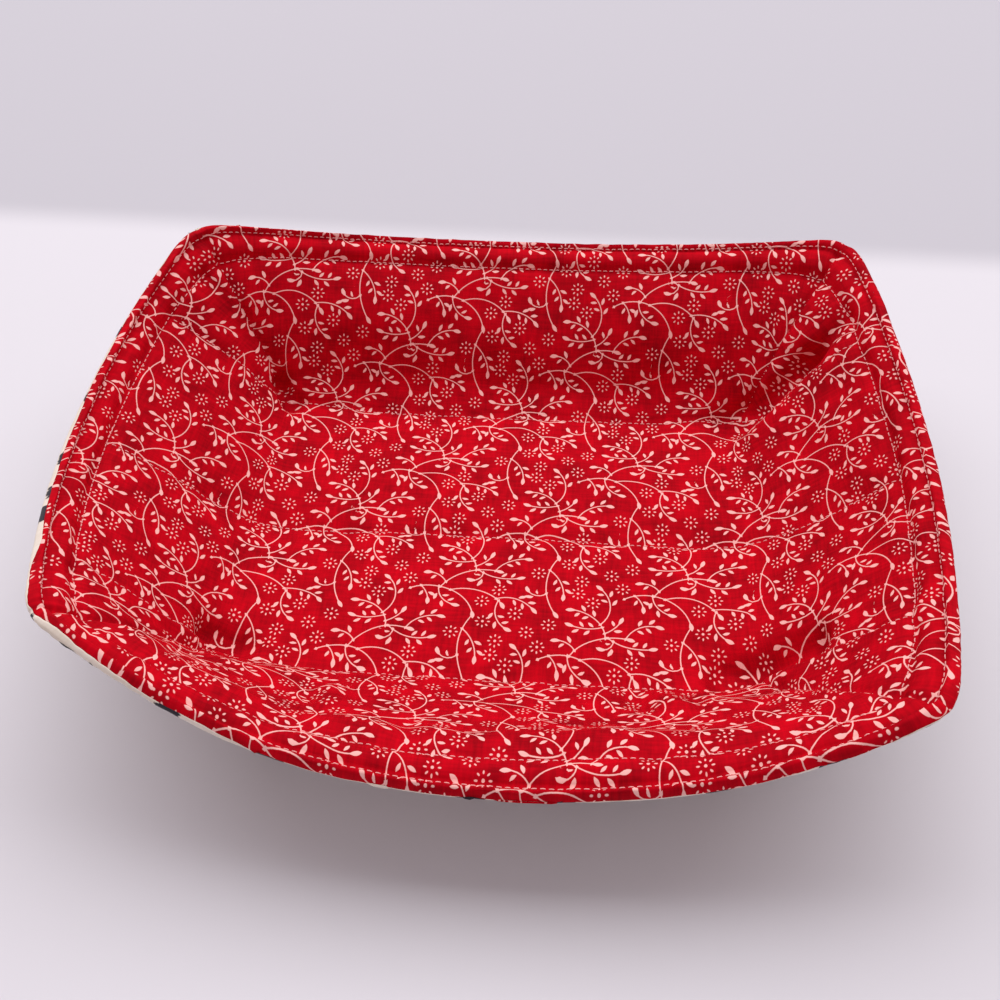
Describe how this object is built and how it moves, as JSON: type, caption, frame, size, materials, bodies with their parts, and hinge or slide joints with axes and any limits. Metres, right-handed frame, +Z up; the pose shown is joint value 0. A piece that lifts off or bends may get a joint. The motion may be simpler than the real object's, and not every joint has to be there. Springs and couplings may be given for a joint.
{
  "type": "microwave container cozy",
  "caption": "Sewn, quilted fabric cozy with flared walls and darted corners that holds a hot rectangular container from a microwave oven.",
  "frame": {"origin": "on the floor, under the middle of the whole outline", "axes": "+X along the long side and the quilting rows, +Y towards the back wall as pictured, +Z up"},
  "size_m": [0.2976, 0.2522, 0.0715],
  "materials": {
    "lining_calico": "printed cotton calico, red with a small pale vine print",
    "cotton_batting": "needled cotton batting, soft and matt",
    "cover_cotton": "printed quilting cotton, cream with dark scattered blotches",
    "sewing_thread": "spun sewing thread with a slight sheen"
  },
  "bodies": {
    "root": {"lining_panel": "lining_calico", "lining_batting": "cotton_batting", "cover_batting": "cotton_batting", "cover_panel": "cover_cotton", "lining_quilting_front": "sewing_thread", "cover_quilting_front": "sewing_thread", "lining_quilting_centre": "sewing_thread", "cover_quilting_centre": "sewing_thread", "lining_quilting_back": "sewing_thread", "cover_quilting_back": "sewing_thread", "lining_dart_seam_front_left": "sewing_thread", "cover_dart_seam_front_left": "sewing_thread", "lining_dart_seam_front_right": "sewing_thread", "cover_dart_seam_front_right": "sewing_thread", "lining_dart_seam_back_right": "sewing_thread", "cover_dart_seam_back_right": "sewing_thread", "lining_dart_seam_back_left": "sewing_thread", "cover_dart_seam_back_left": "sewing_thread", "rim_seam": "sewing_thread", "edge_topstitch_needle_thread": "sewing_thread", "edge_topstitch_bobbin_thread": "sewing_thread", "border_topstitch_needle_thread": "sewing_thread", "border_topstitch_bobbin_thread": "sewing_thread"}
  },
  "joints": []
}
